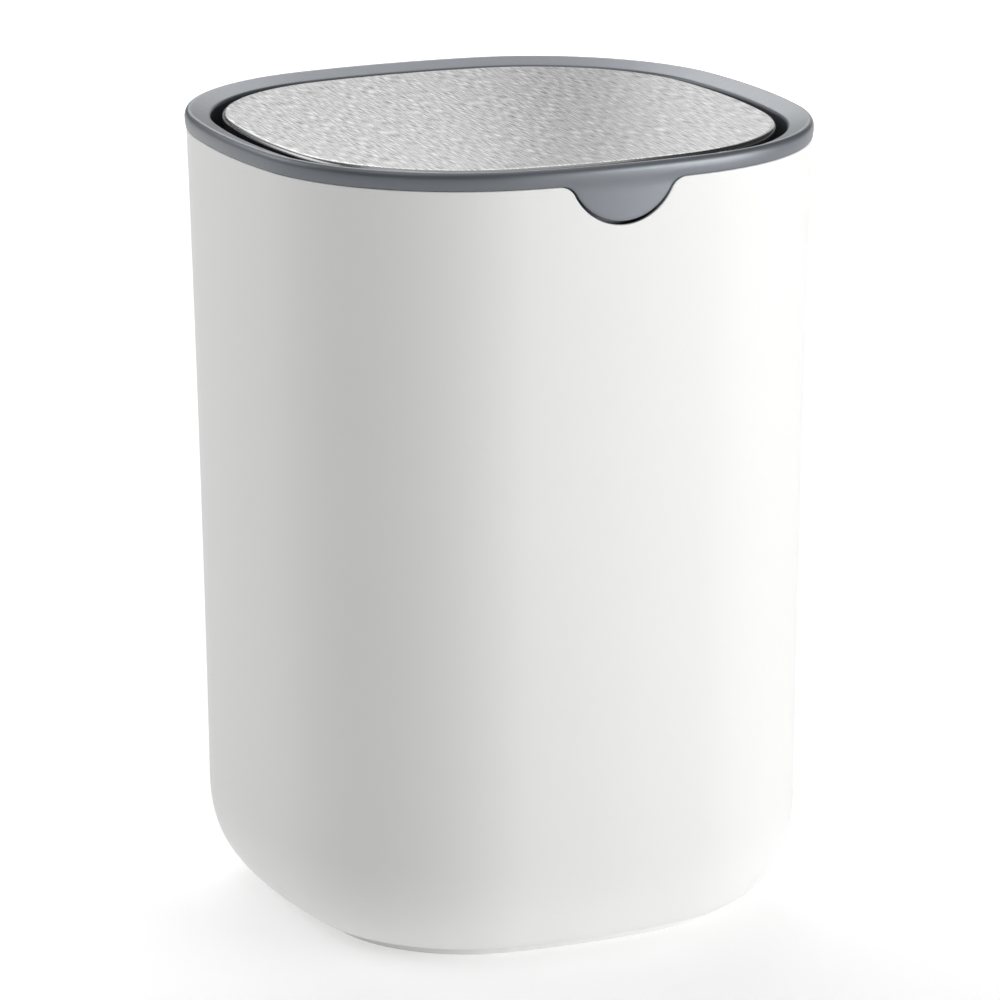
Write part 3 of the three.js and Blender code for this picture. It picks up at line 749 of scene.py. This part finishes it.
WHITE = moulded("white_plastic", (0.800, 0.798, 0.793), 0.004, 0.52)
GREY = moulded("blue_grey_plastic", (0.152, 0.165, 0.183), 0.006, 0.39, grain=0.00022, ior=1.7, metallic=0.5)
BLACK = moulded("near_black_plastic", (0.022, 0.022, 0.024), 0.05, 0.48)
ACETAL = moulded("acetal", (0.78, 0.77, 0.72), 0.01, 0.4, grain=0.0002)
STEEL = brushed("brushed_steel")
BAR_STEEL = metal("bar_steel", (0.42, 0.42, 0.43), 0.42, (35.0, 1500.0, 1500.0))
PIN_STEEL = metal("turned_steel", (0.62, 0.62, 0.63), 0.28, (5000.0, 120.0, 120.0), 0.000002)
ZINC = metal("zinc_steel", (0.56, 0.57, 0.59), 0.36, (700.0, 700.0, 700.0), 0.000002)
FOAM = soft_stuff("bonding_foam", (0.72, 0.72, 0.70), 0.9, 0.00035, 0.00008, holes=True)
RUBBER = soft_stuff("grip_rubber", (0.16, 0.165, 0.17), 0.75, 0.0004, 0.00001)


def place(obj, body, node, material, slot):
    obj.data.materials.clear()
    obj.data.materials.append(material)
    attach(obj, body)
    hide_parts(node)
    return obj


place(build_body(), "bin", "bin_body", WHITE, "body_plastic")
for i, at in enumerate(PAD_AT):
    place(build_foot(i, at), "bin", f"foot_pad_{i + 1}", RUBBER, "pad_rubber")
place(build_rim(), "rim", "rim_frame", GREY, "rim_plastic")
for side, s in (("left", -1), ("right", 1)):
    place(build_bush(side, s), "rim", f"pivot_bush_{side}", ACETAL, "bush_plastic")
    place(build_pin(side, s), "lid", f"pivot_pin_{side}", PIN_STEEL, "pin_steel")
place(build_cover(), "lid", "lid_cover", STEEL, "cover_steel")
place(build_tray(), "lid", "lid_tray", BLACK, "carrier_plastic")
place(build_pan(), "lid", "lid_underside", BLACK, "carrier_plastic")
bar = bevelled_box("ballast_bar", (-BAR["x"], -BAR["y"], BAR["z0"]), (BAR["x"], BAR["y"], BAR["z1"]), 0.5)
place(soften(bar), "lid", "counterweight_bar", BAR_STEEL, "bar_steel")
for i, y in enumerate((-50, -17, 17, 50)):
    place(build_strip(i, y), "lid", f"cover_pad_{i + 1}", FOAM, "bonding_foam")
for i, (at, turn_deg) in enumerate(zip(SCREW_AT, (12, 51, 77, 33))):
    place(build_screw(i, at, turn_deg), "lid", f"underside_screw_{i + 1}", ZINC, "screw_steel")


# ------------------------------------------------------------------ floor, light and camera
def look(azimuth, elevation):
    """Unit vector from the object towards that azimuth and elevation, in degrees; azimuth 0 is the front."""
    a, e = math.radians(azimuth), math.radians(elevation)
    return Vector((math.sin(a) * math.cos(e), -math.cos(a) * math.cos(e), math.sin(e)))


FLOOR_GLOW = 0.307
WORLD = 0.080
# name, azimuth, elevation, distance, width, height, power
LIGHTS = [
    ("low_left_back", -143, 6, 1.6, 0.55, 0.62, 0.34),
    ("low_right_back", 143, 6, 1.6, 0.55, 0.62, 1.19),
    ("low_right_front", 33, 6, 1.6, 0.55, 0.62, 8.96),
    ("low_right_front_2", 55, 6, 1.6, 0.55, 0.62, 7.26),
    ("low_right", 77, 6, 1.6, 0.55, 0.62, 0.16),
    ("mid_left_back", -121, 28, 1.6, 0.55, 0.62, 1.93),
    ("mid_left_back_2", -143, 28, 1.6, 0.55, 0.62, 2.60),
    ("mid_back", -165, 28, 1.6, 0.55, 0.62, 0.45),
    ("mid_right_back", 143, 28, 1.6, 0.55, 0.62, 1.16),
    ("mid_back_2", 165, 28, 1.6, 0.55, 0.62, 2.01),
    ("high_left_back", -160, 54, 1.6, 0.95, 0.75, 0.40),
    ("high_left", -80, 54, 1.6, 0.95, 0.75, 2.38),
    ("high_right_back", 160, 54, 1.6, 0.95, 0.75, 1.62),
    ("high_right_front", 40, 54, 1.6, 0.95, 0.75, 0.31),
    ("upper_back", 165, 38, 1.6, 1.1, 0.6, 4.00),
    ("top", 0, 89, 1.6, 1.6, 1.6, 7.00),
]
AIM = Vector((0, 0, 0.12))


def build_floor():
    bm = bmesh.new()
    bmesh.ops.create_circle(bm, cap_ends=True, radius=9.0, segments=96)
    mesh = bpy.data.meshes.new("floor")
    bm.to_mesh(mesh)
    bm.free()
    floor = bpy.data.objects.new("floor", mesh)
    bpy.context.scene.collection.objects.link(floor)
    n = Nodes("floor_paper")
    n.set(Base_Color=(0.95, 0.95, 0.95, 1), Roughness=0.95, Specular_IOR_Level=0.1)
    n.set(Emission_Color=(1, 1, 1, 1), Emission_Strength=FLOOR_GLOW)
    away = n.add("ShaderNodeVectorMath")
    away.operation = "LENGTH"
    n.link(n.coord, away.inputs[0])
    n.link(n.span(away.outputs["Value"], 0.9, 2.6, FLOOR_GLOW, FLOOR_GLOW + 0.66), n.bsdf.inputs["Emission Strength"])
    n.link(n.span(n.noise(900.0, 2.0), 0.3, 0.7, 0.9, 1.0), n.bsdf.inputs["Roughness"])
    mesh.materials.append(n.mat)
    return floor


def build_world():
    world = bpy.data.worlds.new("studio")
    bpy.context.scene.world = world
    world.use_nodes = True
    tree = world.node_tree
    tree.nodes["Background"].inputs[0].default_value = (1, 1, 1, 1)
    # white where it is seen past the floor's edge, and WORLD as a light
    rays = tree.nodes.new("ShaderNodeLightPath")
    strength = tree.nodes.new("ShaderNodeMapRange")
    strength.inputs["To Min"].default_value = WORLD
    strength.inputs["To Max"].default_value = 1.0
    tree.links.new(rays.outputs["Is Camera Ray"], strength.inputs["Value"])
    tree.links.new(strength.outputs[0], tree.nodes["Background"].inputs[1])
    return world


def build_lights():
    made = {}
    for name, az, el, dist, w, h, power in LIGHTS:
        data = bpy.data.lights.new(name, "AREA")
        data.shape, data.size, data.size_y, data.energy = "RECTANGLE", w, h, power
        obj = bpy.data.objects.new(name, data)
        bpy.context.scene.collection.objects.link(obj)
        obj.location = AIM + look(az, el) * dist
        obj.rotation_euler = (-look(az, el)).to_track_quat("-Z", "Y").to_euler()
        obj.visible_camera = False
        made[name] = obj
    return made


def build_camera():
    data = bpy.data.cameras.new("camera")
    data.sensor_fit, data.sensor_width, data.lens = "HORIZONTAL", 36.0, 208.44
    data.clip_start, data.clip_end = 0.05, 60.0
    cam = bpy.data.objects.new("camera", data)
    bpy.context.scene.collection.objects.link(cam)
    back = look(-24.3407, 14.6696)
    a = math.radians(-24.3407)
    right = Vector((math.cos(a), math.sin(a), 0))
    up = back.cross(right)
    roll = math.radians(-0.21)
    x = right * math.cos(roll) + up * math.sin(roll)
    y = -right * math.sin(roll) + up * math.cos(roll)
    at = Vector((0.000364, 0, 0.116411)) + back * 1.684603
    cam.matrix_world = Matrix(((x.x, y.x, back.x, at.x), (x.y, y.y, back.y, at.y), (x.z, y.z, back.z, at.z), (0, 0, 0, 1)))
    bpy.context.scene.camera = cam
    return cam


FLOOR = build_floor()
STUDIO = build_world()
LAMPS = build_lights()
CAMERA = build_camera()
bpy.context.scene.view_settings.view_transform = "Standard"
bpy.context.scene.view_settings.look = "None"

bpy.context.view_layer.update()
